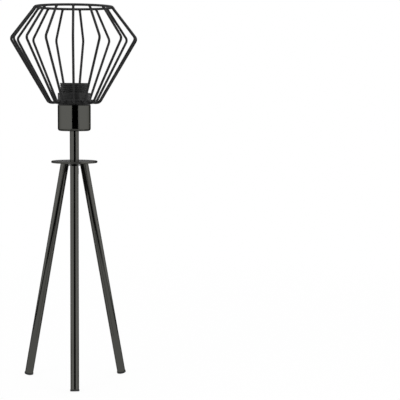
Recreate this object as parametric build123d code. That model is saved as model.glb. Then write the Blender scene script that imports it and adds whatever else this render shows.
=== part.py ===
from build123d import *
from math import atan2, cos, degrees, radians, sin
import os

# A bedside lamp: three tubular legs under a round plate, a short stem, a cup that covers the
# back of an E27 lampholder, and an open cage of bent wires held by the lampholder's shade ring.
# Lengths are in millimetres and angles in degrees. The lamp stands on z = 0 with its axis on
# the Z axis. -Y is its front, where one leg and one wire of the cage point.

FRONT = -90.0

# Gaps between pieces that fit each other, measured on the radius
THREAD_GAP = 0.05
SLIP_GAP = 0.1
HOLE_GAP = 0.25

# Tripod: a plate with three mitred tubes welded under it
PLATE_TOP_Z = 317.0
PLATE_D = 66.0
PLATE_T = 3.0
PLATE_EDGE_R = 1.2
LEG_COUNT = 3
LEG_D = 12.0
LEG_WALL = 1.2
LEG_TOP_R = 15.5
LEG_FOOT_R = 78.8
WELD_LEG = 0.9

# Foot plugs: a moulded disc on a ribbed spigot that is pushed into the leg
PLUG_PROUD = 0.5
PLUG_T = 2.6
PLUG_EDGE_R = 0.8
PLUG_SOLE = 0.35
SPIGOT_L = 14.0
SPIGOT_WALL = 1.4
SPIGOT_RIBS = 6
SPIGOT_RIB_W = 1.2

# Hollow threaded rod that draws plate, stem and cup together, and the cord's way through it
ROD_D = 10.0
ROD_BORE_D = 7.0
ROD_BELOW_PLATE = 13.0
NUT_ACROSS_FLATS = 14.0
NUT_T = 3.5
NUT_CHAMFER = 0.6
WASHER_D = 16.0
WASHER_T = 0.8
WASHER_TEETH = 12
WASHER_TOOTH_DEPTH = 1.2
BUSH_WALL = 1.15
BUSH_THREAD_L = 5.0
BUSH_LIP_L = 3.5
BUSH_EDGE = 0.5

# Stem
STEM_D = 13.0
STEM_WALL = 1.0
STEM_L = 42.5

# Cup: a drawn shell, clamped through its floor and open at the top
CUP_D = 47.0
CUP_H = 36.5
CUP_WALL = 1.0
CUP_CORNER_R = 3.5
CUP_RIM_BEVEL = 0.25

# Lampholder: cap, body with a threaded skirt, and the insert between them
CAP_ABOVE_NUT = 0.7
CAP_NECK_D = 16.0
CAP_NECK_H = 8.0
CAP_D = 41.0
CAP_BEVEL = 4.5
CAP_WALL = 1.5
CAP_RIM_GAP = 0.3
CAP_SEAT_W = 1.7
LOCK_SCREW_D = 3.0
LOCK_SCREW_PROUD = 0.4
LOCK_SCREW_SOCKET_D = 1.5
LOCK_SCREW_SOCKET_DEPTH = 1.5
SHOULDER_D = 46.0
SHOULDER_T = 1.8
SHOULDER_ABOVE_CUP = 0.2
SKIRT_D = 40.0
SKIRT_H = 29.5
SKIRT_MOUTH_D = 29.2
SKIRT_LIP_T = 2.2
SKIRT_CHAMFER = 0.8
BODY_BORE_D = 34.0
BODY_NECK_L = 10.2
INSERT_FLANGE_T = 2.0
INSERT_TOP_BELOW_SHOULDER = 1.0
INSERT_CHAMFER = 0.8

# Screw shell that takes the lamp's E27 cap
SHELL_BORE_D = 26.6
SHELL_WALL = 0.45
SHELL_TOP_GAP = 0.8
SHELL_HOLE_D = 17.0
SHELL_CONE_H = 4.0
SHELL_LIP_R = 0.9
RIVET_D = 2.4
RIVET_HEAD_D = 4.0
RIVET_HEAD_H = 0.8
RIVET_PITCH_R = 10.8
RIVET_L = 8.0

# Sprung centre contact and its guide
CONTACT_TOP_BELOW_CONE = 1.0
CONTACT_HEAD_D = 6.4
CONTACT_HEAD_T = 2.0
CONTACT_DOME_R = 1.2
CONTACT_PIN_D = 3.0
CONTACT_PIN_TAIL = 1.8
CONTACT_SEAT_D = 7.4
CONTACT_SEAT_DEPTH = 6.0
GUIDE_WALL = 0.65
GUIDE_FLANGE_T = 0.6
CLIP_D = 5.4
CLIP_T = 0.8
CLIP_GAP_W = 1.6
SPRING_WIRE_D = 0.6
SPRING_TURNS = 4

# Terminals under the insert
TERMINAL_W = 7.0
TERMINAL_H = 7.0
TERMINAL_R = 11.0
TERMINAL_WIRE_D = 2.8
TERMINAL_WIRE_DEPTH = 5.5
TERMINAL_SCREW_D = 3.0
TERMINAL_SCREW_L = 2.6
TERMINAL_SCREW_HEAD_D = 4.6
TERMINAL_SCREW_HEAD_H = 1.4
TERMINAL_SCREW_SLOT_W = 0.7
LIVE_TAB_T = 0.8
LIVE_TAB_W = 6.6

# Shade ring: a threaded collar with a flange that holds the cage down
RING_NUT_D = 46.5
RING_NUT_H = 12.5
RING_NUT_FLANGE_INSET = 0.25
RING_NUT_FLANGE_T = 3.0
RING_NUT_CHAMFER = 1.0

# Cage: bent wires between a top ring and a flat base ring. The wires are welded in by hand, so their
# bearings, in degrees from +X, are a little uneven.
WIRE_BEARINGS = (
    -90.5, -66.5, -42.5, -15.0, 3.0, 30.5, 54.5, 81.5, 107.5, 132.5, 156.0, 181.0, 199.5, 223.5, 245.0
)
WIRE_D = 3.5
BASE_RING_BORE_GAP = 0.5
BASE_RING_D = 60.0
BASE_RING_T = 3.0
TOP_RING_D = 109.0
BELLY_D = 178.5
FOOT_REACH = 6.0
BELLY_ABOVE_FOOT = 90.5
TOP_RING_ABOVE_BELLY = 44.5
BELLY_BEND_R = 6.0
FOOT_BEND_R = 7.0
MITRE_GAP = 0.02

# Heights and radii that follow from the sizes above
plate_under_z = PLATE_TOP_Z - PLATE_T
lower_washer_z = plate_under_z - WASHER_T
lower_nut_z = lower_washer_z - NUT_T
rod_bottom_z = plate_under_z - ROD_BELOW_PLATE
cup_floor_z = PLATE_TOP_Z + STEM_L
cup_inside_z = cup_floor_z + CUP_WALL
cup_rim_z = cup_floor_z + CUP_H
upper_nut_z = cup_inside_z + WASHER_T
cap_neck_z = upper_nut_z + NUT_T + CAP_ABOVE_NUT
cap_shoulder_z = cap_neck_z + CAP_NECK_H
rod_top_z = cap_shoulder_z - SLIP_GAP
shoulder_under_z = cup_rim_z + SHOULDER_ABOVE_CUP
shoulder_top_z = shoulder_under_z + SHOULDER_T
cap_rim_z = shoulder_under_z - CAP_RIM_GAP
body_neck_z = shoulder_under_z - BODY_NECK_L
insert_under_z = body_neck_z - INSERT_FLANGE_T
insert_top_z = shoulder_top_z - INSERT_TOP_BELOW_SHOULDER
skirt_top_z = shoulder_top_z + SKIRT_H
shell_cone_top_z = insert_top_z + SHELL_WALL + SHELL_CONE_H
shell_top_z = skirt_top_z - SKIRT_LIP_T - SHELL_TOP_GAP
contact_top_z = shell_cone_top_z - CONTACT_TOP_BELOW_CONE
contact_head_z = contact_top_z - CONTACT_HEAD_T
contact_seat_z = insert_top_z - CONTACT_SEAT_DEPTH
guide_foot_z = insert_under_z - LIVE_TAB_T - SLIP_GAP
wire_z = shoulder_top_z + BASE_RING_T / 2
base_ring_top_z = shoulder_top_z + BASE_RING_T
belly_z = wire_z + BELLY_ABOVE_FOOT
top_ring_z = belly_z + TOP_RING_ABOVE_BELLY

rod_hole_r = ROD_D / 2 + HOLE_GAP
thread_hole_r = ROD_D / 2 + THREAD_GAP
cap_bore_r = CAP_D / 2 - CAP_WALL
body_neck_r = cap_bore_r - SLIP_GAP
insert_r = BODY_BORE_D / 2 - SLIP_GAP
contact_hole_r = CONTACT_PIN_D / 2 + THREAD_GAP
guide_r = contact_hole_r + GUIDE_WALL
base_ring_bore_r = SKIRT_D / 2 + BASE_RING_BORE_GAP

# A leg's axis runs from its top, under the plate, to the point where it would meet the floor
leg_drop = plate_under_z
leg_run = LEG_FOOT_R - LEG_TOP_R
leg_tilt = degrees(atan2(leg_run, leg_drop))
plug_r = LEG_D / 2 + PLUG_PROUD
plug_drop = (plug_r - PLUG_EDGE_R) * sin(radians(leg_tilt)) + PLUG_EDGE_R * (1 - cos(radians(leg_tilt)))
plug_face_z = plug_drop - PLUG_SOLE
leg_axis_l = (leg_drop - plug_face_z) / cos(radians(leg_tilt))


def tube(radius, bore_radius, bottom, top):
    """An upright round tube, or a rod where the bore is nought."""
    height = top - bottom
    body = Pos(0, 0, bottom) * Cylinder(radius, height, align=(Align.CENTER, Align.CENTER, Align.MIN))
    if bore_radius:
        body -= Pos(0, 0, bottom) * Cylinder(
            bore_radius, height, align=(Align.CENTER, Align.CENTER, Align.MIN)
        )
    return body


def turned(outline):
    """A solid of revolution from a closed face in the XZ plane."""
    return revolve(outline, axis=Axis.Z)


def section(*points):
    """A closed face in the XZ plane through (radius, height) points."""
    return make_face(Plane.XZ * Polyline(*points, close=True))


def corners(face, *places):
    """The face's corners that lie at the given (radius, height) places."""
    found = []
    for r, z in places:
        found.append(face.vertices().sort_by_distance(Vector(r, 0, z))[0])
    return found


def rounded(face, radius, *places):
    """The face with its corners at those places rounded."""
    return fillet(corners(face, *places), radius)


def bevelled(face, width, *places):
    """The face with its corners at those places cut off at 45 degrees."""
    return chamfer(corners(face, *places), width)


def bent_wire(path, radius):
    """Round wire along a path of straight runs and arcs."""
    wire = None
    for run in path.edges():
        end = Plane(origin=run @ 0, z_dir=run % 0) * Circle(radius)
        if run.geom_type == GeomType.LINE:
            piece = extrude(end, run.length)
        else:
            turn = (run @ 0 - run.arc_center).cross(run % 0)
            piece = revolve(end, Axis(run.arc_center, turn), degrees(run.length / run.radius))
        wire = piece if wire is None else wire + piece
    return wire


def around(piece, count, start=0.0):
    """Copies of a piece at even steps round the Z axis."""
    return [Rot(0, 0, start + 360.0 * i / count) * piece for i in range(count)]


# Tripod
def plate():
    """Round plate with rolled edges and a hole for the threaded rod."""
    r = PLATE_D / 2
    face = section(
        (rod_hole_r, plate_under_z), (r, plate_under_z), (r, PLATE_TOP_Z), (rod_hole_r, PLATE_TOP_Z)
    )
    return turned(rounded(face, PLATE_EDGE_R, (r, plate_under_z), (r, PLATE_TOP_Z)))


def leg_plane(azimuth):
    """Plane whose origin is the leg's top and whose Z axis runs up along the leg, out of the plate."""
    a = radians(azimuth)
    outward = Vector(cos(a), sin(a), 0)
    along = Vector(0, 0, 1) * cos(radians(leg_tilt)) - outward * sin(radians(leg_tilt))
    return Plane(
        origin=outward * LEG_TOP_R + Vector(0, 0, plate_under_z),
        x_dir=Vector(-sin(a), cos(a), 0),
        z_dir=along,
    )


def leg(azimuth):
    """Tube mitred to lie flat against the plate and cut square at its foot."""
    height = leg_axis_l - PLUG_T + LEG_D
    place = leg_plane(azimuth) * Pos(0, 0, LEG_D)
    outer = place * Cylinder(LEG_D / 2, height, align=(Align.CENTER, Align.CENTER, Align.MAX))
    inner = place * Cylinder(LEG_D / 2 - LEG_WALL, height, align=(Align.CENTER, Align.CENTER, Align.MAX))
    reach = 2 * (LEG_FOOT_R + LEG_D)
    keep = Box(reach, reach, plate_under_z, align=(Align.CENTER, Align.CENTER, Align.MIN))
    return (outer - inner) & keep


def weld_bead(azimuth):
    """Small bead round the top of a leg, between the tube and the plate."""
    drop = WELD_LEG / cos(radians(leg_tilt))
    place = leg_plane(azimuth) * Pos(0, 0, -WELD_LEG - LEG_D * sin(radians(leg_tilt)) / 2)
    stretch = LEG_D * sin(radians(leg_tilt)) + WELD_LEG * 2
    outer = place * Cone(
        LEG_D / 2, LEG_D / 2 + WELD_LEG, stretch, align=(Align.CENTER, Align.CENTER, Align.MIN)
    )
    hole = place * Cylinder(LEG_D / 2, stretch, align=(Align.CENTER, Align.CENTER, Align.MIN))
    slab = Pos(0, 0, plate_under_z) * Box(
        PLATE_D, PLATE_D, drop, align=(Align.CENTER, Align.CENTER, Align.MAX)
    )
    return (outer - hole) & slab


def foot_plug(azimuth):
    """Plug with a rounded disc outside the leg, a ribbed spigot inside, and a small flat sole."""
    spigot_r = LEG_D / 2 - LEG_WALL - SLIP_GAP
    face = section(
        (0, 0),
        (plug_r, 0),
        (plug_r, PLUG_T),
        (spigot_r, PLUG_T),
        (spigot_r, PLUG_T + SPIGOT_L),
        (spigot_r - SPIGOT_WALL, PLUG_T + SPIGOT_L),
        (spigot_r - SPIGOT_WALL, PLUG_T),
        (0, PLUG_T),
    )
    plug = turned(rounded(face, PLUG_EDGE_R, (plug_r, 0)))
    rib = Pos(0, 0, PLUG_T) * Box(
        spigot_r - SPIGOT_WALL / 2, SPIGOT_RIB_W, SPIGOT_L, align=(Align.MIN, Align.CENTER, Align.MIN)
    )
    plug = plug + around(rib, SPIGOT_RIBS)
    plug = leg_plane(azimuth) * Pos(0, 0, -leg_axis_l) * plug
    reach = 2 * (LEG_FOOT_R + LEG_D)
    floor = Box(reach, reach, plug_r, align=(Align.CENTER, Align.CENTER, Align.MAX))
    return plug - floor


# Rod, nuts, washers and cord bush
def threaded_rod():
    """Hollow rod from the cord bush up into the lampholder's cap."""
    return tube(ROD_D / 2, ROD_BORE_D / 2, rod_bottom_z, rod_top_z)


def hex_nut(bottom):
    """Thin hexagon nut with its corners turned off."""
    half = NUT_ACROSS_FLATS / 2
    corner_r = half / cos(radians(30))
    blank = Pos(0, 0, bottom) * extrude(RegularPolygon(half, 6, major_radius=False), NUT_T)
    face = section(
        (thread_hole_r, bottom),
        (corner_r - NUT_CHAMFER, bottom),
        (corner_r, bottom + NUT_CHAMFER / 2),
        (corner_r, bottom + NUT_T - NUT_CHAMFER / 2),
        (corner_r - NUT_CHAMFER, bottom + NUT_T),
        (thread_hole_r, bottom + NUT_T),
    )
    return blank & turned(face)


def lock_washer(bottom):
    """Washer with teeth round its rim."""
    tooth_gap = radians(360.0 / WASHER_TEETH / 2)
    washer = tube(WASHER_D / 2, rod_hole_r, bottom, bottom + WASHER_T)
    gap = Pos(WASHER_D / 2, 0, bottom) * Box(
        2 * WASHER_TOOTH_DEPTH,
        WASHER_D / 2 * tooth_gap,
        WASHER_T,
        align=(Align.CENTER, Align.CENTER, Align.MIN),
    )
    return washer - around(gap, WASHER_TEETH)


def cord_bush():
    """Plastic bush on the rod's lower end, with a bevelled mouth for the cord."""
    r = thread_hole_r + BUSH_WALL
    bottom = rod_bottom_z - BUSH_LIP_L
    top = rod_bottom_z + BUSH_THREAD_L
    face = section(
        (ROD_BORE_D / 2, bottom),
        (r, bottom),
        (r, top),
        (thread_hole_r, top),
        (thread_hole_r, rod_bottom_z),
        (ROD_BORE_D / 2, rod_bottom_z),
    )
    return turned(bevelled(face, BUSH_EDGE, (ROD_BORE_D / 2, bottom), (r, bottom)))


# Stem and cup
def stem():
    """Plain tube over the rod, between the plate and the cup."""
    return tube(STEM_D / 2, STEM_D / 2 - STEM_WALL, PLATE_TOP_Z, cup_floor_z)


def cup():
    """Drawn shell with a rounded lower corner and a bevelled rim."""
    outer, inner = CUP_D / 2, CUP_D / 2 - CUP_WALL
    face = section(
        (rod_hole_r, cup_floor_z),
        (outer, cup_floor_z),
        (outer, cup_rim_z),
        (inner, cup_rim_z),
        (inner, cup_inside_z),
        (rod_hole_r, cup_inside_z),
    )
    face = rounded(face, CUP_CORNER_R, (outer, cup_floor_z))
    face = rounded(face, CUP_CORNER_R - CUP_WALL, (inner, cup_inside_z))
    return turned(bevelled(face, CUP_RIM_BEVEL, (outer, cup_rim_z), (inner, cup_rim_z)))


# Lampholder
def lock_screw_z():
    """Height of the screw that locks the cap on the rod."""
    return cap_neck_z + CAP_NECK_H / 2


def lampholder_cap():
    """Moulded cap with a threaded neck, a step for the insert and a hole for the locking screw."""
    neck_r, outer = CAP_NECK_D / 2, CAP_D / 2
    floor_z = cap_shoulder_z + CAP_WALL
    seat_r = cap_bore_r - CAP_SEAT_W
    face = section(
        (thread_hole_r, cap_neck_z),
        (neck_r, cap_neck_z),
        (neck_r, cap_shoulder_z),
        (outer, cap_shoulder_z),
        (outer, cap_rim_z),
        (cap_bore_r, cap_rim_z),
        (cap_bore_r, insert_under_z),
        (seat_r, insert_under_z),
        (seat_r, floor_z),
        (thread_hole_r, floor_z),
    )
    face = bevelled(face, CAP_BEVEL, (outer, cap_shoulder_z))
    face = bevelled(face, CAP_BEVEL - CAP_WALL, (seat_r, floor_z))
    hole = Pos(0, 0, lock_screw_z()) * Rot(-90, 0, 0) * Cylinder(
        LOCK_SCREW_D / 2 + THREAD_GAP, CAP_NECK_D, align=(Align.CENTER, Align.CENTER, Align.MIN)
    )
    return turned(face) - hole


def lampholder_lock_screw():
    """Grub screw through the cap's neck, with a hexagon socket."""
    tip = ROD_D / 2 + THREAD_GAP
    length = CAP_NECK_D / 2 + LOCK_SCREW_PROUD - tip
    screw = Cylinder(LOCK_SCREW_D / 2, length, align=(Align.CENTER, Align.CENTER, Align.MIN))
    socket = Pos(0, 0, length - LOCK_SCREW_SOCKET_DEPTH) * extrude(
        RegularPolygon(LOCK_SCREW_SOCKET_D / 2, 6, major_radius=False), LOCK_SCREW_SOCKET_DEPTH
    )
    return Pos(0, tip, lock_screw_z()) * Rot(-90, 0, 0) * (screw - socket)


def lampholder_body():
    """Moulded body: a neck inside the cap, a shoulder under the cage and the skirt through it."""
    skirt_r, shoulder_r, bore_r = SKIRT_D / 2, SHOULDER_D / 2, BODY_BORE_D / 2
    lip_z = skirt_top_z - SKIRT_LIP_T
    face = section(
        (bore_r, body_neck_z),
        (body_neck_r, body_neck_z),
        (body_neck_r, shoulder_under_z),
        (shoulder_r, shoulder_under_z),
        (shoulder_r, shoulder_top_z),
        (skirt_r, shoulder_top_z),
        (skirt_r, skirt_top_z),
        (SKIRT_MOUTH_D / 2, skirt_top_z),
        (SKIRT_MOUTH_D / 2, lip_z),
        (bore_r, lip_z),
    )
    return turned(bevelled(face, SKIRT_CHAMFER, (skirt_r, skirt_top_z), (SKIRT_MOUTH_D / 2, skirt_top_z)))


def lampholder_insert():
    """Insulating insert that carries the shell, the terminals and the centre contact."""
    flange_r = body_neck_r
    face = section(
        (0, insert_under_z),
        (flange_r, insert_under_z),
        (flange_r, body_neck_z),
        (insert_r, body_neck_z),
        (insert_r, insert_top_z),
        (0, insert_top_z),
    )
    insert = turned(bevelled(face, INSERT_CHAMFER, (insert_r, insert_top_z)))
    insert -= tube(CONTACT_SEAT_D / 2, 0, contact_seat_z, insert_top_z)
    insert -= tube(guide_r + THREAD_GAP, 0, insert_under_z, contact_seat_z)
    hole = Pos(RIVET_PITCH_R, 0, insert_top_z - RIVET_L) * Cylinder(
        RIVET_D / 2 + THREAD_GAP, RIVET_L, align=(Align.CENTER, Align.CENTER, Align.MIN)
    )
    return insert - around(hole, 2)


def screw_shell():
    """Drawn metal shell: a flange on the insert, a cone, the threaded wall and a rolled rim."""
    bore_r, hole_r = SHELL_BORE_D / 2, SHELL_HOLE_D / 2
    cone_foot_r = RIVET_PITCH_R + RIVET_HEAD_D / 2
    wall_top_z = shell_top_z - SHELL_LIP_R
    face = section(
        (hole_r, insert_top_z),
        (cone_foot_r + SHELL_WALL, insert_top_z),
        (bore_r + SHELL_WALL, shell_cone_top_z),
        (bore_r + SHELL_WALL, wall_top_z),
        (bore_r + SHELL_WALL + SHELL_LIP_R, shell_top_z),
        (bore_r + SHELL_LIP_R, shell_top_z),
        (bore_r, wall_top_z),
        (bore_r, shell_cone_top_z),
        (cone_foot_r, insert_top_z + SHELL_WALL),
        (hole_r, insert_top_z + SHELL_WALL),
    )
    hole = Pos(RIVET_PITCH_R, 0, insert_top_z) * Cylinder(
        RIVET_D / 2 + THREAD_GAP, SHELL_WALL, align=(Align.CENTER, Align.CENTER, Align.MIN)
    )
    return turned(face) - around(hole, 2)


def shell_rivets():
    """Two rivets that hold the shell on the insert."""
    seat_z = insert_top_z + SHELL_WALL
    foot_z = insert_top_z - RIVET_L
    head_r, shank_r, top_z = RIVET_HEAD_D / 2, RIVET_D / 2, seat_z + RIVET_HEAD_H
    face = section(
        (0, foot_z), (shank_r, foot_z), (shank_r, seat_z), (head_r, seat_z), (head_r, top_z), (0, top_z)
    )
    rivet = turned(bevelled(face, RIVET_HEAD_H / 2, (head_r, top_z)))
    return around(Pos(RIVET_PITCH_R, 0, 0) * rivet, 2)


def contact_guide():
    """Brass guide that is riveted through the insert and holds the live terminal's tab."""
    flange_r = CONTACT_SEAT_D / 2 - SLIP_GAP
    face = section(
        (contact_hole_r, guide_foot_z),
        (guide_r, guide_foot_z),
        (guide_r, contact_seat_z),
        (flange_r, contact_seat_z),
        (flange_r, contact_seat_z + GUIDE_FLANGE_T),
        (contact_hole_r, contact_seat_z + GUIDE_FLANGE_T),
    )
    return turned(face)


def centre_contact():
    """Contact pin with a domed head, which the lamp's cap presses down."""
    head_r, pin_r = CONTACT_HEAD_D / 2, CONTACT_PIN_D / 2
    foot_z = guide_foot_z - CONTACT_PIN_TAIL
    face = section(
        (0, foot_z),
        (pin_r, foot_z),
        (pin_r, contact_head_z),
        (head_r, contact_head_z),
        (head_r, contact_top_z),
        (0, contact_top_z),
    )
    return turned(rounded(face, CONTACT_DOME_R, (head_r, contact_top_z)))


def contact_clip():
    """Open ring in the pin's groove that stops it under the guide."""
    ring = tube(CLIP_D / 2, contact_hole_r, guide_foot_z - CLIP_T, guide_foot_z)
    gap = Pos(0, 0, guide_foot_z - CLIP_T) * Box(
        CLIP_D, CLIP_GAP_W, CLIP_T, align=(Align.MIN, Align.CENTER, Align.MIN)
    )
    return ring - gap


def contact_spring():
    """Compression spring between the guide's flange and the contact's head, as half turns."""
    wire_r = SPRING_WIRE_D / 2
    mean_r = (CONTACT_PIN_D / 2 + CONTACT_SEAT_D / 2) / 2
    foot = contact_seat_z + GUIDE_FLANGE_T + wire_r + THREAD_GAP
    top = contact_head_z - wire_r - THREAD_GAP
    climb = (top - foot) / (2 * SPRING_TURNS)
    turns = []
    for i in range(2 * SPRING_TURNS):
        side = (-1) ** i
        start = Vector(side * mean_r, 0, foot + i * climb)
        end = Vector(-side * mean_r, 0, foot + (i + 1) * climb)
        turns.append(TangentArc(start, end, tangent=(0, side, 0)))
    return bent_wire(Curve(turns), wire_r)


def terminal_block():
    """Brass block at +X with a wire hole below and a screw hole in its outer face."""
    under = insert_under_z - TERMINAL_H
    block = Pos(TERMINAL_R, 0, under) * Box(
        TERMINAL_W, TERMINAL_W, TERMINAL_H, align=(Align.CENTER, Align.CENTER, Align.MIN)
    )
    wire_hole = Pos(TERMINAL_R, 0, under) * Cylinder(
        TERMINAL_WIRE_D / 2, TERMINAL_WIRE_DEPTH, align=(Align.CENTER, Align.CENTER, Align.MIN)
    )
    screw_hole = Pos(TERMINAL_R, 0, under + TERMINAL_WIRE_DEPTH / 2) * Rot(0, 90, 0) * Cylinder(
        TERMINAL_SCREW_D / 2 + THREAD_GAP, TERMINAL_W, align=(Align.CENTER, Align.CENTER, Align.MIN)
    )
    return block - wire_hole - screw_hole


def neutral_terminal():
    """Terminal at the right, under the rivet that joins it to the shell."""
    return terminal_block()


def live_terminal():
    """Terminal at the left with a tab that reaches the contact's guide."""
    tab_l = TERMINAL_R - TERMINAL_W / 2
    tab = Pos(0, 0, insert_under_z) * Box(
        tab_l, LIVE_TAB_W, LIVE_TAB_T, align=(Align.MIN, Align.CENTER, Align.MAX)
    )
    tab += tube(LIVE_TAB_W / 2, 0, insert_under_z - LIVE_TAB_T, insert_under_z)
    tab -= tube(guide_r + THREAD_GAP, 0, insert_under_z - LIVE_TAB_T, insert_under_z)
    return Rot(0, 0, 180) * (terminal_block() + tab)


def terminal_screws():
    """Slotted screws that clamp the wires in the two terminals."""
    seat = TERMINAL_R + TERMINAL_W / 2
    z = insert_under_z - TERMINAL_H + TERMINAL_WIRE_DEPTH / 2
    shank = Cylinder(
        TERMINAL_SCREW_D / 2, TERMINAL_SCREW_L, align=(Align.CENTER, Align.CENTER, Align.MAX)
    )
    head = Cylinder(
        TERMINAL_SCREW_HEAD_D / 2, TERMINAL_SCREW_HEAD_H, align=(Align.CENTER, Align.CENTER, Align.MIN)
    )
    slot = Pos(0, 0, TERMINAL_SCREW_HEAD_H) * Box(
        TERMINAL_SCREW_HEAD_D, TERMINAL_SCREW_SLOT_W, TERMINAL_SCREW_HEAD_H
    )
    screw = Pos(seat, 0, z) * Rot(0, 90, 0) * (shank + head - slot)
    return around(screw, 2)


# Shade ring
def shade_ring():
    """Threaded collar with a flange, both bevelled at the top."""
    bore_r, collar_r = SKIRT_D / 2 + SLIP_GAP, RING_NUT_D / 2
    flange_r = BASE_RING_D / 2 - RING_NUT_FLANGE_INSET
    flange_top_z = base_ring_top_z + RING_NUT_FLANGE_T
    top_z = base_ring_top_z + RING_NUT_H
    face = section(
        (bore_r, base_ring_top_z),
        (flange_r, base_ring_top_z),
        (flange_r, flange_top_z),
        (collar_r, flange_top_z),
        (collar_r, top_z),
        (bore_r, top_z),
    )
    return turned(bevelled(face, RING_NUT_CHAMFER, (collar_r, top_z), (flange_r, flange_top_z)))


# Cage
def top_ring():
    """Round wire ring at the cage's mouth."""
    return Pos(0, 0, top_ring_z) * Torus(TOP_RING_D / 2, WIRE_D / 2)


def base_ring():
    """Flat ring that the shade ring clamps on the lampholder's shoulder."""
    return tube(BASE_RING_D / 2, base_ring_bore_r, shoulder_top_z, base_ring_top_z)


def cage_wires():
    """Bent wires, butted against the rim of the base ring and mitred to the top ring."""
    path = Plane.XZ * FilletPolyline(
        (TOP_RING_D / 2, top_ring_z),
        (BELLY_D / 2, belly_z),
        (BASE_RING_D / 2 + FOOT_REACH, wire_z),
        (BASE_RING_D / 2, wire_z),
        radius=[BELLY_BEND_R, FOOT_BEND_R],
    )
    mitre = Rot(90, 0, 0) * Cylinder(WIRE_D / 2 + MITRE_GAP, 2 * WIRE_D)
    wire = bent_wire(path, WIRE_D / 2) - Pos(TOP_RING_D / 2, 0, top_ring_z) * mitre
    return [Rot(0, 0, bearing) * wire for bearing in WIRE_BEARINGS]


LEG_AZIMUTHS = {"front": FRONT, "right": FRONT + 360.0 / LEG_COUNT, "left": FRONT - 360.0 / LEG_COUNT}

nodes = {
    "tripod_plate": [plate()],
    **{f"leg_{side}": [leg(a)] for side, a in LEG_AZIMUTHS.items()},
    "leg_welds": [weld_bead(a) for a in LEG_AZIMUTHS.values()],
    **{f"foot_plug_{side}": [foot_plug(a)] for side, a in LEG_AZIMUTHS.items()},
    "threaded_rod": [threaded_rod()],
    "lower_lock_washer": [lock_washer(lower_washer_z)],
    "lower_nut": [hex_nut(lower_nut_z)],
    "cord_bush": [cord_bush()],
    "stem_tube": [stem()],
    "cup": [cup()],
    "upper_lock_washer": [lock_washer(cup_inside_z)],
    "upper_nut": [hex_nut(upper_nut_z)],
    "lampholder_cap": [lampholder_cap()],
    "lampholder_lock_screw": [lampholder_lock_screw()],
    "lampholder_body": [lampholder_body()],
    "lampholder_insert": [lampholder_insert()],
    "screw_shell": [screw_shell()],
    "shell_rivets": shell_rivets(),
    "contact_guide": [contact_guide()],
    "centre_contact": [centre_contact()],
    "contact_clip": [contact_clip()],
    "contact_spring": [contact_spring()],
    "live_terminal": [live_terminal()],
    "neutral_terminal": [neutral_terminal()],
    "terminal_screws": terminal_screws(),
    "shade_ring": [shade_ring()],
    "cage_top_ring": [top_ring()],
    "cage_base_ring": [base_ring()],
    "cage_wires": cage_wires(),
}

os.makedirs("parts", exist_ok=True)
for name, pieces in nodes.items():
    solids = [solid for piece in pieces for solid in piece.solids()]
    export_step(solids[0] if len(solids) == 1 else Compound(solids), f"parts/{name}.step")
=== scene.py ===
"""Bedside lamp with a wire cage: finishes, threads and welds for its model, and its stage."""

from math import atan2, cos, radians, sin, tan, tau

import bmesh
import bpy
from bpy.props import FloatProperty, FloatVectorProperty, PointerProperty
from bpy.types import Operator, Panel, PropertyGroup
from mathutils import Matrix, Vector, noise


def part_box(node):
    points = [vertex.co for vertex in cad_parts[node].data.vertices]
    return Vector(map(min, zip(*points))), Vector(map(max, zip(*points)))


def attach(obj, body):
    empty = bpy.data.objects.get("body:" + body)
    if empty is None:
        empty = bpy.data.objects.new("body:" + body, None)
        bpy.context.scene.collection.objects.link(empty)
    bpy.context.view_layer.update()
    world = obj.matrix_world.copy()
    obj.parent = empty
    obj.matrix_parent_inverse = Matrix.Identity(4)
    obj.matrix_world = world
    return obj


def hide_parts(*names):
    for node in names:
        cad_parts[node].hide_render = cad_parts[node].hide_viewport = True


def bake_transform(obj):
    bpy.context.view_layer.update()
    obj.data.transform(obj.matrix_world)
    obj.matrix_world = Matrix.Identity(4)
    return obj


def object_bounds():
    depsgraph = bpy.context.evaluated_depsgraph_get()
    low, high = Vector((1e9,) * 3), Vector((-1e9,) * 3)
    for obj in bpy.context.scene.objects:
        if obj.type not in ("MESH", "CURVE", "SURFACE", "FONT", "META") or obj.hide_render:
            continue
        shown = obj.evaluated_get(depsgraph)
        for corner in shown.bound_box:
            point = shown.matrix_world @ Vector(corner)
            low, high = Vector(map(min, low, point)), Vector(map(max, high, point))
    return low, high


bl_info = {
    "name": "Bedside Lamp",
    "version": (1, 0, 0),
    "blender": (4, 5, 0),
    "location": "3D View > Sidebar > Lamp",
    "description": "Finishes the parts of a bedside lamp and sets it on a pale stage",
    "category": "Object",
}

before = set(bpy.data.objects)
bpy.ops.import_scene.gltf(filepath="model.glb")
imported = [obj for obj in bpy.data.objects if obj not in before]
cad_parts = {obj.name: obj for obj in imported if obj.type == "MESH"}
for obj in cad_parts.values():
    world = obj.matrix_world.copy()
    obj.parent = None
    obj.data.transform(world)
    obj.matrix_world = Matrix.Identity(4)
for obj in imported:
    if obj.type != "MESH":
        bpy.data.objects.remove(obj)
CAD_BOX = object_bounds()
MM = 0.001
WHITE = (1.0, 1.0, 1.0, 1.0)


# Measures taken from the lamp's model
def lowest(node):
    """Height of a node's underside."""
    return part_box(node)[0].z


def highest(node):
    """Height of a node's top."""
    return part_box(node)[1].z


def widest(node):
    """Greatest distance from the lamp's axis of a node's points, and the height where it lies."""
    return max((v.co.xy.length, v.co.z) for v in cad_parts[node].data.vertices)


def radii(node, low, high):
    """Least and greatest distance from the lamp's axis of a node's points between two heights."""
    found = [
        v.co.xy.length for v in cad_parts[node].data.vertices if low <= v.co.z <= high
    ]
    return min(found), max(found)


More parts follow.
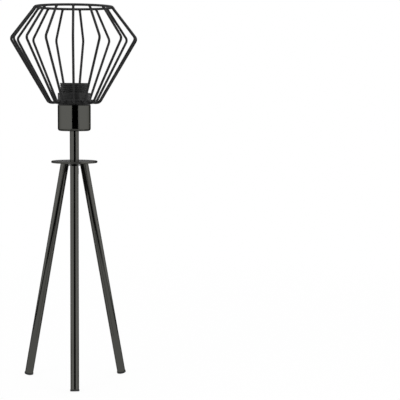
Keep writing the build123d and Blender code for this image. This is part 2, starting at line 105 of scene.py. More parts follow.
def bearings(node):
    """Directions from the lamp's axis of the loose parts of a node's mesh, in rising order."""
    mesh = bmesh.new()
    mesh.from_mesh(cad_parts[node].data)
    found = []
    seen = set()
    for first in mesh.verts:
        if first in seen:
            continue
        seen.add(first)
        waiting = [first]
        total = Vector((0, 0))
        while waiting:
            vertex = waiting.pop()
            total += vertex.co.xy
            near = [e.other_vert(vertex) for e in vertex.link_edges]
            near = [v for v in near if v not in seen]
            seen.update(near)
            waiting += near
        found.append(atan2(total.y, total.x))
    mesh.free()
    return sorted(found)


# Settings that a user may change
class CageSettings(PropertyGroup):
    """Welds of the cage."""

    weld_width: FloatProperty(
        name="Weld width", description="Size of a weld along the ring",
        default=4.4 * MM, unit="LENGTH",
    )
    weld_length: FloatProperty(
        name="Weld length", description="Size of a weld along the wire",
        default=3.6 * MM, unit="LENGTH",
    )
    weld_swell: FloatProperty(
        name="Weld swell", description="How far a weld stands out from the wire",
        default=0.22 * MM, unit="LENGTH",
    )


class ThreadSettings(PropertyGroup):
    """Threads of the lampholder, the shade ring and the rod."""

    skirt_pitch: FloatProperty(
        name="Skirt pitch", description="Pitch of the thread on the skirt",
        default=2.8 * MM, unit="LENGTH",
    )
    skirt_depth: FloatProperty(
        name="Skirt depth", description="Depth of the thread on the skirt",
        default=0.9 * MM, unit="LENGTH",
    )
    ring_depth: FloatProperty(
        name="Ring depth", description="Depth of the thread in the shade ring",
        default=0.8 * MM, unit="LENGTH",
    )
    shell_pitch: FloatProperty(
        name="Shell pitch", description="Pitch of the rolled thread",
        default=3.629 * MM, unit="LENGTH",
    )
    shell_depth: FloatProperty(
        name="Shell depth", description="Depth of the rolled thread",
        default=1.05 * MM, unit="LENGTH",
    )
    rod_pitch: FloatProperty(
        name="Rod pitch", description="Pitch of the rod's thread",
        default=1.0 * MM, unit="LENGTH",
    )
    rod_depth: FloatProperty(
        name="Rod depth", description="Depth of the rod's thread",
        default=0.55 * MM, unit="LENGTH",
    )


class FinishSettings(PropertyGroup):
    """Colours and gloss of the lamp's finishes."""

    chrome: FloatVectorProperty(
        name="Black chrome", description="Plate on the tripod, stem and cup",
        default=(0.094, 0.094, 0.086), subtype="COLOR", min=0, max=1,
    )
    chrome_edge: FloatVectorProperty(
        name="Black chrome, edge on", description="The same plate seen along the surface",
        default=(0.3, 0.3, 0.3, 1.0), size=4, subtype="COLOR", min=0, max=1,
    )
    chrome_roughness: FloatProperty(
        name="Chrome haze", description="Roughness of clean plate",
        default=0.07, subtype="FACTOR", min=0, max=1,
    )
    paint: FloatVectorProperty(
        name="Powder coat", description="Paint on the cage",
        default=(0.0115, 0.0115, 0.0118), subtype="COLOR", min=0, max=1,
    )
    plastic: FloatVectorProperty(
        name="Black plastic", description="Lampholder and shade ring",
        default=(0.0095, 0.0095, 0.0098), subtype="COLOR", min=0, max=1,
    )
    foot: FloatVectorProperty(
        name="Foot plastic", description="Plugs in the legs",
        default=(0.011, 0.011, 0.011), subtype="COLOR", min=0, max=1,
    )
    zinc: FloatVectorProperty(
        name="Zinc plate", description="Rod, nuts, washers and screws",
        default=(0.62, 0.63, 0.64), subtype="COLOR", min=0, max=1,
    )
    nickel: FloatVectorProperty(
        name="Nickel plate", description="Screw shell and centre contact",
        default=(0.70, 0.665, 0.60), subtype="COLOR", min=0, max=1,
    )
    brass: FloatVectorProperty(
        name="Brass", description="Terminals and guide",
        default=(0.72, 0.50, 0.22), subtype="COLOR", min=0, max=1,
    )
    ceramic: FloatVectorProperty(
        name="Steatite", description="Insert of the lampholder",
        default=(0.74, 0.71, 0.64), subtype="COLOR", min=0, max=1,
    )


class StageSettings(PropertyGroup):
    """Camera, light and floor."""

    camera_place: FloatVectorProperty(
        name="Camera", description="Place of the camera",
        default=(0.01288, -1.8824, 0.41843), subtype="XYZ", unit="LENGTH",
    )
    turn: FloatProperty(
        name="Turn", description="How far the camera turns to the right",
        default=radians(5.080), unit="ROTATION",
    )
    tip: FloatProperty(
        name="Tip", description="How far the camera looks down",
        default=radians(4.787), unit="ROTATION",
    )
    roll: FloatProperty(
        name="Roll", description="How far the picture leans clockwise",
        default=radians(0.261), unit="ROTATION",
    )
    lens: FloatProperty(
        name="Lens", description="Focal length on 36 mm film",
        default=118.29, min=1, unit="CAMERA",
    )
    floor: FloatVectorProperty(
        name="Floor", description="Colour of the floor",
        default=(0.93, 0.93, 0.93), subtype="COLOR", min=0, max=1,
    )
    floor_glow: FloatProperty(
        name="Floor glow", description="Share of the floor that is plain white",
        default=0.93, subtype="FACTOR", min=0, max=1,
    )
    floor_reach: FloatProperty(
        name="Floor reach", description="Distance from which the floor is plain white",
        default=1.6, unit="LENGTH",
    )
    sky: FloatProperty(
        name="Sky", description="Strength of the soft light all round",
        default=0.7, min=0,
    )
    softbox: FloatProperty(
        name="Softbox", description="Power of the strongest softbox",
        default=18.0, unit="POWER", min=0,
    )


class LampSettings(PropertyGroup):
    """All settings of the bedside lamp."""

    cage: PointerProperty(type=CageSettings)
    thread: PointerProperty(type=ThreadSettings)
    finish: PointerProperty(type=FinishSettings)
    stage: PointerProperty(type=StageSettings)


# Node trees written as expressions
class Socket:
    """A value in a node tree. Arithmetic on it adds the Math nodes that work it out."""

    def __init__(self, shader, link):
        self.shader = shader
        self.link = link

    def math(self, operation, *values):
        return self.shader.add("ShaderNodeMath", {"operation": operation}, dict(enumerate(values)))

    def __add__(self, other):
        return self.math("ADD", self, other)

    def __radd__(self, other):
        return self.math("ADD", other, self)

    def __sub__(self, other):
        return self.math("SUBTRACT", self, other)

    def __rsub__(self, other):
        return self.math("SUBTRACT", other, self)

    def __mul__(self, other):
        return self.math("MULTIPLY", self, other)

    def __rmul__(self, other):
        return self.math("MULTIPLY", other, self)

    def or_more(self, other):
        """The larger of this value and another."""
        return self.math("MAXIMUM", self, other)

    def between(self, low, high):
        """0 up to one value, 1 from the other on, and a smooth rise between them."""
        return self.shader.add(
            "ShaderNodeMapRange",
            {"interpolation_type": "SMOOTHSTEP"},
            {"Value": self, "From Min": low, "From Max": high},
        )


class Shader:
    """Node tree of a material or of the world."""

    def __init__(self, owner):
        owner.use_nodes = True
        self.tree = owner.node_tree
        self.tree.nodes.clear()

    def add(self, kind, settings, inputs, output=0):
        """One of the outputs of a new node that has these settings and these values or links."""
        node = self.tree.nodes.new(kind)
        for name, value in settings.items():
            setattr(node, name, value)
        for key, value in inputs.items():
            socket = self.pick(node.inputs, key)
            if isinstance(value, Socket):
                self.tree.links.new(value.link, socket)
            else:
                socket.default_value = value
        return Socket(self, self.pick(node.outputs, output)) if node.outputs else None

    @staticmethod
    def pick(sockets, key):
        """The socket in use with that name or number."""
        used = [s for s in sockets if s.enabled]
        return used[key] if isinstance(key, int) else next(s for s in used if s.name == key)

    def place(self, stretch=(1.0, 1.0, 1.0)):
        """Place on the piece in metres, stretched along each axis."""
        place = self.add("ShaderNodeTexCoord", {}, {}, "Object")
        return self.add("ShaderNodeVectorMath", {"operation": "MULTIPLY"}, {0: place, 1: stretch})

    def height(self):
        """Height above the floor of a piece that stands at rest."""
        return self.add("ShaderNodeSeparateXYZ", {}, {"Vector": self.place()}, "Z")

    def noise(self, scale, detail=2.0, stretch=(1.0, 1.0, 1.0)):
        """Cloudy noise from 0 to 1 with that many clouds to the metre."""
        inputs = {"Vector": self.place(stretch), "Scale": scale, "Detail": detail}
        return self.add("ShaderNodeTexNoise", {}, inputs, "Fac")

    def specks(self, scale):
        """Distance to the nearest of many scattered points, that many of them to the metre."""
        inputs = {"Vector": self.place(), "Scale": scale}
        return self.add("ShaderNodeTexVoronoi", {}, inputs, "Distance")

    def mix(self, share, first, second):
        """Blend of two colours."""
        inputs = {"Factor": share, "A": solid(first), "B": solid(second)}
        return self.add("ShaderNodeMix", {"data_type": "RGBA"}, inputs)

    def bump(self, height, depth):
        """Normal of a surface whose relief is that deep."""
        inputs = {"Height": height, "Distance": depth, "Strength": 1.0}
        return self.add("ShaderNodeBump", {}, inputs)

    def surface(self, sockets):
        """Ends the tree of a material in a Principled shader with these sockets."""
        shader = self.add("ShaderNodeBsdfPrincipled", {}, sockets)
        self.add("ShaderNodeOutputMaterial", {}, {"Surface": shader})


def solid(colour):
    """A colour with full alpha, or a linked colour as it is."""
    return colour if isinstance(colour, Socket) else (*colour[:3], 1.0)


def scaled(colour, share):
    """A colour made that much brighter."""
    return tuple(share * c for c in colour[:3])


def material_of(build):
    """The material that a finish's function builds, built the first time it is asked for."""
    found = bpy.data.materials.get(build.__name__)
    if found is None:
        found = bpy.data.materials.new(build.__name__)
        build(Shader(found), bpy.context.scene.lamp.finish)
    return found


# Finishes
def black_chrome_plate(shader, finish):
    """Dark mirror with a faint haze, a few dull smudges and the slight waves of drawn steel."""
    smudge = shader.noise(26, detail=5).between(0.52, 0.78)
    grain = shader.noise(1500, detail=2)
    waves = shader.noise(70, detail=1, stretch=(1.0, 1.0, 0.35))
    smudged = scaled(finish.chrome, 0.82)
    shader.surface({
        "Base Color": shader.mix(smudge * 0.35, finish.chrome, smudged),
        "Metallic": 1.0,
        "Roughness": finish.chrome_roughness + smudge * 0.07 + grain * 0.02,
        "Specular Tint": finish.chrome_edge,
        "Normal": shader.bump(waves + grain * 0.02, 0.035 * MM),
    })


def powder_coat(shader, finish):
    """Satin black paint, baked from powder, with its fine pebbled skin."""
    pebbles = shader.noise(1700, detail=3)
    dull = shader.noise(60, detail=4)
    faded = scaled(finish.paint, 1.35)
    shader.surface({
        "Base Color": shader.mix(dull.between(0.35, 0.7), finish.paint, faded),
        "Roughness": 0.4 + dull * 0.12 + pebbles * 0.06,
        "Specular IOR Level": 0.26,
        "Normal": shader.bump(pebbles, 0.05 * MM),
    })


def moulded_plastic(shader, finish):
    """Black moulding compound with a fine spark-eroded grain, paler where it is scuffed."""
    grain = shader.noise(2600, detail=2)
    scuff = shader.noise(240, detail=5, stretch=(1.0, 1.0, 3.0)).between(0.55, 0.75)
    scuffed = scaled(finish.plastic, 1.9)
    shader.surface({
        "Base Color": shader.mix(scuff, finish.plastic, scuffed),
        "Roughness": 0.33 + grain * 0.1 + scuff * 0.12,
        "Specular IOR Level": 0.4,
        "Normal": shader.bump(grain + scuff * 0.3, 0.02 * MM),
    })


def foot_plastic(shader, finish):
    """Soft black plastic, worn dull and grey near the floor."""
    grain = shader.noise(1900, detail=3)
    near_floor = 1 - shader.height().between(0.2 * MM, 2.2 * MM)
    wear = near_floor * shader.noise(420, detail=4).between(0.3, 0.7)
    worn = scaled(finish.foot, 4.0)
    shader.surface({
        "Base Color": shader.mix(wear, finish.foot, worn),
        "Roughness": 0.5 + wear * 0.25 + grain * 0.06,
        "Specular IOR Level": 0.3,
        "Normal": shader.bump(grain, 0.03 * MM),
    })


def zinc_plate(shader, finish):
    """Bright zinc plate with a cloudy bloom and fine turning marks."""
    bloom = shader.noise(160, detail=5)
    marks = shader.noise(900, detail=3, stretch=(1.0, 1.0, 4.0))
    clouded = scaled(finish.zinc, 0.74)
    shader.surface({
        "Base Color": shader.mix(bloom.between(0.35, 0.7), finish.zinc, clouded),
        "Metallic": 1.0,
        "Roughness": 0.24 + bloom * 0.2,
        "Normal": shader.bump(marks, 0.012 * MM),
    })


def nickel_plate(shader, finish):
    """Nickel on drawn brass, with dull patches and rubbed streaks round the thread."""
    patch = shader.noise(140, detail=4)
    streaks = shader.noise(700, detail=2, stretch=(0.4, 0.4, 5.0))
    dulled = scaled(finish.nickel, 0.8)
    shader.surface({
        "Base Color": shader.mix(patch.between(0.4, 0.72), finish.nickel, dulled),
        "Metallic": 1.0,
        "Roughness": 0.17 + patch * 0.14 + streaks * 0.08,
        "Normal": shader.bump(streaks, 0.008 * MM),
    })


def plain_brass(shader, finish):
    """Stamped brass that has tarnished a little."""
    tarnish = shader.noise(220, detail=5)
    tarnished = (0.34, 0.21, 0.1)
    shader.surface({
        "Base Color": shader.mix(tarnish.between(0.42, 0.75), finish.brass, tarnished),
        "Metallic": 1.0,
        "Roughness": 0.22 + tarnish * 0.24,
        "Normal": shader.bump(shader.noise(1200), 0.01 * MM),
    })


def steatite(shader, finish):
    """Cream unglazed ceramic with fine dark specks."""
    specks = 1 - shader.specks(620).between(0.05, 0.16)
    grain = shader.noise(1400, detail=4)
    speckled = scaled(finish.ceramic, 0.55)
    shader.surface({
        "Base Color": shader.mix(specks * 0.5, finish.ceramic, speckled),
        "Roughness": 0.5 + grain * 0.18,
        "Normal": shader.bump(grain, 0.03 * MM),
    })


def dress(nodes, build):
    """Gives CAD nodes a finish in place of their plain colour."""
    for node in nodes:
        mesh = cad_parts[node].data
        mesh.materials.clear()
        mesh.materials.append(material_of(build))


# Meshes
CORNER_FACES = 3  # faces across a rounded corner
SHARP_EDGE = radians(38)  # angle from which an edge stays sharp
SAME_WALL = 0.05 * MM  # points whose radii differ by less lie on one wall


def eased(corner, before, after, radius):
    """Points of an arc that rounds a corner of an outline."""
    corner = Vector(corner)
    inward = [(Vector(p) - corner).normalized() for p in (before, after)]
    reach = radius / tan(inward[0].angle(inward[1]) / 2)
    start, end = (corner + d * reach for d in inward)
    centre = corner + (inward[0] + inward[1]).normalized() * Vector((radius, reach)).length
    found = []
    for i in range(CORNER_FACES + 1):
        spoke = (start - centre).lerp(end - centre, i / CORNER_FACES)
        found.append(tuple(centre + spoke.normalized() * radius))
    return found


def outline_of(points, radius):
    """An outline of (radius, height) points with all its corners rounded."""
    found = []
    for i, corner in enumerate(points):
        found += eased(corner, points[i - 1], points[(i + 1) % len(points)], radius)
    return found


def filled(points, step, low, high, wall):
    """The outline with extra points on the upright wall of that radius between two heights."""
    found = []
    for i, (r, z) in enumerate(points):
        found.append((r, z))
        next_r, next_z = points[(i + 1) % len(points)]
        rise = next_z - z
        upright = abs(r - wall) < SAME_WALL and abs(next_r - wall) < SAME_WALL
        if upright and abs(rise) > 2 * step and low <= (z + next_z) / 2 <= high:
            count = round(abs(rise) / step)
            found += [(r, z + rise * k / count) for k in range(1, count)]
    return found


def thread(pitch, depth, low, high, flat=0.5):
    """How far a right-hand thread cuts in at a height and a turn, running out at both its ends.

    It is a plain wave where flat is 0.5, and more widens its crests and its roots.
    """
    def cut(z, turn):
        wave = (z / pitch - turn) * tau
        form = min(1.0, max(0.0, 0.5 - flat * cos(wave)))
        run_in = min(1.0, max(0.0, min(z - low, high - z) / pitch))
        return depth * form * run_in * run_in * (3 - 2 * run_in)
    return cut


def turned(name, outline, moved, steps):
    """Piece with an outline turned about the lamp's axis. moved gives a point's new radius."""
    mesh = bmesh.new()
    rings = []
    for i in range(steps):
        turn = i / steps
        ring = []
        for r, z in outline:
            reach = moved(r, z, turn)
            ring.append(mesh.verts.new((reach * cos(turn * tau), reach * sin(turn * tau), z)))
        rings.append(ring)
    count = len(outline)
    for i in range(steps):
        here, there = rings[i], rings[(i + 1) % steps]
        for j in range(count):
            k = (j + 1) % count
            mesh.faces.new((here[j], there[j], there[k], here[k]))
    bmesh.ops.recalc_face_normals(mesh, faces=mesh.faces)
    return made_piece(name, mesh)


def made_piece(name, mesh):
    """Object with that mesh, shaded smooth except at its sharp edges."""
    data = bpy.data.meshes.new(name)
    mesh.to_mesh(data)
    mesh.free()
    data.shade_smooth()
    data.set_sharp_from_angle(angle=SHARP_EDGE)
    piece = bpy.data.objects.new(name, data)
    bpy.context.scene.collection.objects.link(piece)
    return piece


def placed(piece, build, body, replaced=()):
    """Finishes a new piece, fastens it to its body, if any, and hides the nodes it stands for."""
    piece.data.materials.append(material_of(build))
    if body:
        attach(piece, body)
    if replaced:
        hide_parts(*replaced)


def weld(mesh, place, size, seed):
    """Lumpy nugget of weld, with the size of its half axes along the columns of its place."""
    lump_height, lump_scale = 0.09, 1.7
    start = len(mesh.verts)
    bmesh.ops.create_icosphere(mesh, subdivisions=3, radius=1.0)
    mesh.verts.ensure_lookup_table()
    for v in mesh.verts[start:]:
        lump = 1 + lump_height * noise.noise(v.co * lump_scale + Vector((seed, 0, 0)))
        v.co = place @ Vector([c * s * lump for c, s in zip(v.co, size)])


# Pieces
SKIRT_FACES = 128  # faces round the lampholder's skirt and round the shade ring
SKIRT_ROWS = 10  # rows of faces in one turn of their thread
SKIRT_FLAT = 0.75  # how wide the crests of their thread are


class LAMP_OT_tripod(Operator):
    """Finish the plate, the legs, their welds, the stem and the cup"""

    bl_idname = "lamp.tripod"
    bl_label = "Tripod"

    def execute(self, context):
        legs = [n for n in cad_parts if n.startswith("leg_")]
        dress(["tripod_plate", "stem_tube", "cup", *legs], black_chrome_plate)
        return {"FINISHED"}


class LAMP_OT_feet(Operator):
    """Finish the plugs in the legs"""

    bl_idname = "lamp.feet"
    bl_label = "Feet"

    def execute(self, context):
        dress([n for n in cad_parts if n.startswith("foot_plug_")], foot_plastic)
        return {"FINISHED"}


class LAMP_OT_rod(Operator):
    """Cut the thread of the rod, and finish the nuts, the washers and the cord bush"""

    bl_idname = "lamp.rod"
    bl_label = "Threaded rod"

    def execute(self, context):
        settings = context.scene.lamp.thread
        edge, rows, faces = 0.3 * MM, 6, 48
        low, high = lowest("threaded_rod"), highest("threaded_rod")
        bore, radius = radii("threaded_rod", low, high)
        middle = (bore + radius) / 2
        corners = [(bore, low), (radius, low), (radius, high), (bore, high)]
        outline = filled(
            outline_of(corners, edge), settings.rod_pitch / rows, low, high, radius
        )
        cut = thread(settings.rod_pitch, settings.rod_depth, low, high)

        def moved(r, z, turn):
            return r - cut(z, turn) if r > middle else r

        rod = turned("threaded_rod_cut", outline, moved, faces)
        placed(rod, zinc_plate, "stand", ["threaded_rod"])
        dress(["lower_lock_washer", "lower_nut", "upper_lock_washer", "upper_nut"], zinc_plate)
        dress(["cord_bush"], moulded_plastic)
        return {"FINISHED"}


class LAMP_OT_lampholder(Operator):
    """Cut the thread of the lampholder's skirt, and finish its cap and its insert"""

    bl_idname = "lamp.lampholder"
    bl_label = "Lampholder"

    def execute(self, context):
        settings = context.scene.lamp.thread
        edge, gap, lip_depth, mouth_depth = 0.4 * MM, 0.2 * MM, 2.2 * MM, 3 * MM
        plain_foot, plain_top, skin, touch = 1 * MM, 0.2 * MM, 0.1 * MM, 0.01 * MM
        low, high = lowest("lampholder_body"), highest("lampholder_body")
        seat = lowest("cage_base_ring")
        rim = highest("cup")
        skirt = radii("lampholder_body", (seat + high) / 2, high)[1]
        neck = radii("lampholder_body", low, (low + rim) / 2)[1]
        bore = radii("lampholder_body", low, rim)[0]
        shoulder = radii("lampholder_body", rim, seat + touch)[1]
        mouth = radii("lampholder_body", high - mouth_depth, high)[0]
        shoulder_low = rim + gap
        lip = high - lip_depth
        corners = [
            (bore, low), (neck, low), (neck, shoulder_low), (shoulder, shoulder_low),
            (shoulder, seat), (skirt, seat), (skirt, high), (mouth, high), (mouth, lip),
            (bore, lip),
        ]
        outline = filled(
            outline_of(corners, edge), settings.skirt_pitch / SKIRT_ROWS, seat, high, skirt
        )
        thread_low = seat + plain_foot
        thread_high = high - plain_top
        outside = skirt - skin
        cut = thread(
            settings.skirt_pitch, settings.skirt_depth, thread_low, thread_high, SKIRT_FLAT
        )

        def moved(r, z, turn):
            return r - cut(z, turn) if r > outside and z > thread_low else r

        body = turned("lampholder_body_threaded", outline, moved, SKIRT_FACES)
        placed(body, moulded_plastic, "stand", ["lampholder_body"])
        dress(["lampholder_cap"], moulded_plastic)
        dress(["lampholder_insert"], steatite)
        dress(["lampholder_lock_screw", "terminal_screws"], zinc_plate)
        return {"FINISHED"}


class LAMP_OT_screw_shell(Operator):
    """Roll the thread of the screw shell, and finish the contact and the terminals"""

    bl_idname = "lamp.screw_shell"
    bl_label = "Screw shell"

    def execute(self, context):
        settings = context.scene.lamp.thread
        edge, wall, flare = 0.15 * MM, 0.45 * MM, 0.9 * MM
        cone_foot, cone_height = 12.8 * MM, 4.0 * MM
        rows, faces = 12, 96
        low, high = lowest("screw_shell"), highest("screw_shell")
        hole, rim = radii("screw_shell", low, high)
        bore = rim - wall - flare
        cone_top = low + wall + cone_height
        wall_top = high - flare
        corners = [
            (hole, low), (cone_foot + wall, low), (bore + wall, cone_top),
            (bore + wall, wall_top), (rim, high), (rim - wall, high), (bore, wall_top),
            (bore, cone_top), (cone_foot, low + wall), (hole, low + wall),
        ]
        outline = outline_of(corners, edge)
        for radius in (bore, bore + wall):
            outline = filled(outline, settings.shell_pitch / rows, cone_top, wall_top, radius)
        cut = thread(settings.shell_pitch, settings.shell_depth, cone_top, wall_top)

        def moved(r, z, turn):
            return r - cut(z, turn) if cone_top < z < wall_top else r

        shell = turned("screw_shell_rolled", outline, moved, faces)
        placed(shell, nickel_plate, "stand", ["screw_shell"])
        dress(["centre_contact"], nickel_plate)
        dress(["shell_rivets", "contact_guide", "live_terminal", "neutral_terminal"], plain_brass)
        dress(["contact_clip"], zinc_plate)
        coil = bmesh.new()
        coil.from_mesh(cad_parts["contact_spring"].data)
        spring = made_piece("contact_spring_wound", coil)
        placed(spring, zinc_plate, None, ["contact_spring"])
        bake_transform(spring)
        return {"FINISHED"}


class LAMP_OT_shade_ring(Operator):
    """Cut the thread in the shade ring"""

    bl_idname = "lamp.shade_ring"
    bl_label = "Shade ring"

    def execute(self, context):
        settings = context.scene.lamp.thread
        edge, flange_height, collar_depth = 0.5 * MM, 3 * MM, 1.5 * MM
        low, high = lowest("shade_ring"), highest("shade_ring")
        bore, flange = radii("shade_ring", low, high)
        collar = radii("shade_ring", high - collar_depth, high)[1]
        flange_top = low + flange_height
        corners = [
            (bore, low), (flange, low), (flange, flange_top), (collar, flange_top),
            (collar, high), (bore, high),
        ]
        outline = filled(
            outline_of(corners, edge), settings.skirt_pitch / SKIRT_ROWS, low, high, bore
        )
        cut = thread(settings.skirt_pitch, settings.ring_depth, low, high, SKIRT_FLAT)

        def moved(r, z, turn):
            return r + cut(z, turn) if r < bore + SAME_WALL else r

        ring = turned("shade_ring_threaded", outline, moved, SKIRT_FACES)
        placed(ring, moulded_plastic, "shade_ring", ["shade_ring"])
        return {"FINISHED"}


class LAMP_OT_cage(Operator):
    """Weld the cage's wires to its rings and paint it"""

    bl_idname = "lamp.cage"
    bl_label = "Cage"

    def execute(self, context):
        settings = context.scene.lamp.cage
        dress(["cage_wires", "cage_top_ring", "cage_base_ring"], powder_coat)
        wire_r = (highest("cage_top_ring") - lowest("cage_top_ring")) / 2
        ring_r = widest("cage_top_ring")[0] - wire_r
        ring_z = highest("cage_top_ring") - wire_r
        rim_r = widest("cage_base_ring")[0]
        rim_z = lowest("cage_wires") + wire_r
        belly_r, belly_z = widest("cage_wires")
        down = Vector((belly_r - wire_r - ring_r, 0, belly_z - ring_z)).normalized()
        leaning = down.to_track_quat("X", "Y").to_matrix().to_4x4()
        corner = Vector((ring_r, 0, ring_z)) + down * wire_r
        size = (settings.weld_length / 2, settings.weld_width / 2, wire_r + settings.weld_swell)
        # The lower welds are shorter, and clear the shoulder that the wires' feet lie on.
        base_length, base_height, base_seed = 0.8, 0.96, 50
        base_size = (size[0] * base_length, size[1], wire_r * base_height)
        top, base = bmesh.new(), bmesh.new()
        # A wire's mesh has seven loose parts, so seven lumps overlap in each weld.
        for i, bearing in enumerate(bearings("cage_wires")):
            turn = Matrix.Rotation(bearing, 4, "Z")
            at_ring = turn @ Matrix.Translation(corner) @ leaning
            weld(top, at_ring, size, i)
            at_rim = turn @ Matrix.Translation((rim_r + base_size[0] / 3, 0, rim_z))
            weld(base, at_rim, base_size, i + base_seed)
        for name, mesh in (("cage_top_welds", top), ("cage_base_welds", base)):
            placed(made_piece(name, mesh), powder_coat, "cage")
        return {"FINISHED"}


# Stage
FLOOR_RADIUS = 9.0
FLOOR_SIDES = 64
FLOOR_FADE = 0.3  # share of its reach from which the floor turns white
FILM_WIDTH = 36  # millimetres
CAMERA_SIGHT = 50  # metres

# Softboxes: name, place, size, share of the strongest one's power.
SOFTBOXES = (
    ("key_light", (-1.6, -1.8, 1.9), 1.4, 1.0),
    ("fill_light", (1.9, -1.4, 1.5), 1.4, 0.7),
    ("top_light", (0.1, 0.9, 2.4), 1.6, 0.6),
)

# Glowing cards round the lamp that only the gloss sees: painted reflections, which the plate
# mirrors as dark lines
# and grey bands. Columns: name, bearings of the left and right edge in degrees from the front,
# distance and height of the inner edge, distance and height of the outer edge, brightness.
PAINTED_REFLECTIONS = (
    ("table_card", -180, 180, (0.0, 0.001), (0.64, 0.001), 0.72),
    ("table_left", -115, -28, (0.64, 0.001), (0.75, 0.001), 0.62),
    ("table_right", 28, 115, (0.64, 0.001), (0.75, 0.001), 0.62),
    ("front_edge", -28, 28, (0.57, 0.002), (0.98, 0.002), 0.02),
    ("near_left_edge", -52, -28, (0.68, 0.003), (1.02, 0.003), 0.05),
    ("near_right_edge", 28, 76, (0.76, 0.002), (0.98, 0.002), 0.22),
    ("far_left_edge", -116, -52, (0.66, 0.002), (1.35, 0.002), 0.02),
    ("far_right_edge", 76, 116, (0.74, 0.002), (1.3, 0.002), 0.02),
    ("floor_card", -52, 60, (0.98, 0.002), (1.3, 0.002), 0.35),
    ("aisle_card", -28, 34, (1.5, 0.003), (3.2, 0.003), 0.0),
    ("stem_card", -15, 37, (3.2, 0.0), (3.2, 0.26), 0.0),
    ("cup_card", -16, 28, (3.2, 0.26), (3.2, 0.5), 0.0),
    ("front_leg_card", -23, 30, (3.2, 0.5), (3.2, 2.4), 0.05),
    ("left_wing", -122, -32, (3.2, 1.36), (3.2, 3.0), 0.0),
    ("rear_floor_left", 197, 235, (0.15, 0.004), (3.0, 0.004), 0.0),
    ("rear_floor_right", 125, 163, (0.15, 0.004), (3.0, 0.004), 0.0),
    ("rear_low_left", 197, 226, (3.0, 0.0), (3.0, 0.41), 0.0),
    ("rear_low_right", 134, 163, (3.0, 0.0), (3.0, 0.41), 0.0),
    ("rear_card", 142, 218, (3.0, 0.41), (3.0, 2.2), 0.16),
)
CARD_DEGREES = 6  # width of one flat face of a card
CARD_MERGE = 0.1 * MM  # corners of a card nearer than this are one


def seen_rays(shader):
    """1 for what the camera, gloss or glass sees, and 0 for light on the object."""
    camera, gloss, glass = (
        shader.add("ShaderNodeLightPath", {}, {}, name)
        for name in ("Is Camera Ray", "Is Glossy Ray", "Is Transmission Ray")
    )
    return camera.or_more(gloss).or_more(glass)


def white_sky(stage):
    """White all round for the camera, and a soft even light for the lamp."""
    world = bpy.data.worlds.new("studio")
    bpy.context.scene.world = world
    shader = Shader(world)
    strength = stage.sky + seen_rays(shader) * (1 - stage.sky)
    light = shader.add("ShaderNodeBackground", {}, {"Color": WHITE, "Strength": strength})
    shader.add("ShaderNodeOutputWorld", {}, {"Surface": light})


def floor_finish(stage):
    """Pale matt floor that shows nearly plain white with a light shadow, and white far off."""
    material = bpy.data.materials.new("pale_floor")
    shader = Shader(material)
    matt = shader.add("ShaderNodeBsdfDiffuse", {}, {"Color": solid(stage.floor)})
    glow = shader.add("ShaderNodeEmission", {}, {"Color": WHITE, "Strength": 1.0})
    place = shader.place()
    distance = shader.add("ShaderNodeVectorMath", {"operation": "LENGTH"}, {0: place}, "Value")
    far = distance.between(stage.floor_reach * FLOOR_FADE, stage.floor_reach)
    share = seen_rays(shader) * (stage.floor_glow + far * (1 - stage.floor_glow))
    both = shader.add("ShaderNodeMixShader", {}, {0: share, 1: matt, 2: glow})
    shader.add("ShaderNodeOutputMaterial", {}, {"Surface": both})
    return material


def painted_reflection_card(name, left, right, inner, outer, level):
    """Bent glowing card round the lamp that only shows in gloss, as a flat tone: a painted
    reflection.
    """
    count = round((right - left) / CARD_DEGREES)
    mesh = bmesh.new()
    for i in range(count):
        corners = []
        for share, (distance, z) in ((i, inner), (i + 1, inner), (i + 1, outer), (i, outer)):
            bearing = radians(left + (right - left) * share / count)
            corners.append(mesh.verts.new((distance * sin(bearing), -distance * cos(bearing), z)))
        mesh.faces.new(corners)
    bmesh.ops.remove_doubles(mesh, verts=mesh.verts, dist=CARD_MERGE)
    piece = made_piece(name, mesh)
    material = bpy.data.materials.new(name)
    shader = Shader(material)
    # The card's glow is a painted reflection: it is seen only in gloss, and it lights nothing.
    tone = shader.add("ShaderNodeEmission", {}, {"Color": WHITE, "Strength": level})
    shader.add("ShaderNodeOutputMaterial", {}, {"Surface": tone})
    piece.data.materials.append(material)
    for ray in ("camera", "diffuse", "transmission", "volume_scatter", "shadow"):
        setattr(piece, f"visible_{ray}", False)


def softbox(name, place, size, power):
    """Square softbox that points at the middle of the lamp and shows in nothing."""
    light = bpy.data.lights.new(name, "AREA")
    light.shape = "SQUARE"
    light.size = size
    light.energy = power
    piece = bpy.data.objects.new(name, light)
    piece.location = place
    middle = (Vector(CAD_BOX[0]) + Vector(CAD_BOX[1])) / 2
    piece.rotation_euler = (middle - piece.location).to_track_quat("-Z", "Y").to_euler()
    piece.visible_camera = False
    piece.visible_glossy = False
    bpy.context.scene.collection.objects.link(piece)


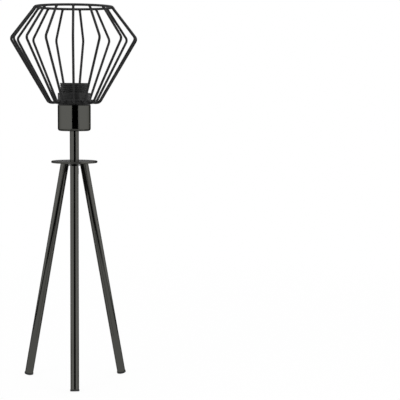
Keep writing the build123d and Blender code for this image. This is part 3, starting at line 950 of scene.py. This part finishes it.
def set_camera(stage):
    """Camera at its place, turned, tipped and rolled."""
    data = bpy.data.cameras.new("camera")
    data.lens = stage.lens
    data.sensor_width = FILM_WIDTH
    data.clip_end = CAMERA_SIGHT
    camera = bpy.data.objects.new("camera", data)
    level = cos(stage.tip)
    ahead = Vector((sin(stage.turn) * level, cos(stage.turn) * level, -sin(stage.tip)))
    right = Vector((cos(stage.turn), -sin(stage.turn), 0))
    up = right.cross(ahead)
    right, up = (
        right * cos(stage.roll) + up * sin(stage.roll),
        up * cos(stage.roll) - right * sin(stage.roll),
    )
    axes = Matrix((right, up, -ahead)).transposed().to_4x4()
    camera.matrix_world = Matrix.Translation(stage.camera_place) @ axes
    bpy.context.scene.collection.objects.link(camera)
    bpy.context.scene.camera = camera


class LAMP_OT_stage(Operator):
    """Set the camera, the floor, the light and the glowing cards that paint reflections on the
    plate
    """

    bl_idname = "lamp.stage"
    bl_label = "Stage"

    def execute(self, context):
        stage = context.scene.lamp.stage
        context.scene.view_settings.view_transform = "Standard"
        set_camera(stage)
        white_sky(stage)
        mesh = bmesh.new()
        bmesh.ops.create_circle(mesh, cap_ends=True, segments=FLOOR_SIDES, radius=FLOOR_RADIUS)
        floor = made_piece("floor", mesh)
        floor.data.materials.append(floor_finish(stage))
        for name, *where in PAINTED_REFLECTIONS:
            painted_reflection_card(name, *where)
        for name, place, size, share in SOFTBOXES:
            softbox(name, place, size, stage.softbox * share)
        return {"FINISHED"}


class LAMP_PT_lamp(Panel):
    """Steps that finish the lamp, and its settings"""

    bl_label = "Bedside lamp"
    bl_space_type = "VIEW_3D"
    bl_region_type = "UI"
    bl_category = "Lamp"

    def draw(self, context):
        for operator in OPERATORS:
            self.layout.operator(operator.bl_idname)
        for name in ("cage", "thread", "finish", "stage"):
            box = self.layout.box()
            box.label(text=name.capitalize())
            group = getattr(context.scene.lamp, name)
            for setting in group.__annotations__:
                box.prop(group, setting)


SETTINGS = (CageSettings, ThreadSettings, FinishSettings, StageSettings, LampSettings)
OPERATORS = (
    LAMP_OT_tripod,
    LAMP_OT_feet,
    LAMP_OT_rod,
    LAMP_OT_lampholder,
    LAMP_OT_screw_shell,
    LAMP_OT_shade_ring,
    LAMP_OT_cage,
    LAMP_OT_stage,
)


def register():
    for kind in (*SETTINGS, *OPERATORS, LAMP_PT_lamp):
        bpy.utils.register_class(kind)
    bpy.types.Scene.lamp = PointerProperty(type=LampSettings)


def unregister():
    del bpy.types.Scene.lamp
    for kind in reversed((*SETTINGS, *OPERATORS, LAMP_PT_lamp)):
        bpy.utils.unregister_class(kind)


def main():
    """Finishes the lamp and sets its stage."""
    register()
    for operator in OPERATORS:
        name = operator.bl_idname.split(".")[1]
        getattr(bpy.ops.lamp, name)()


if __name__ == "__main__":
    main()
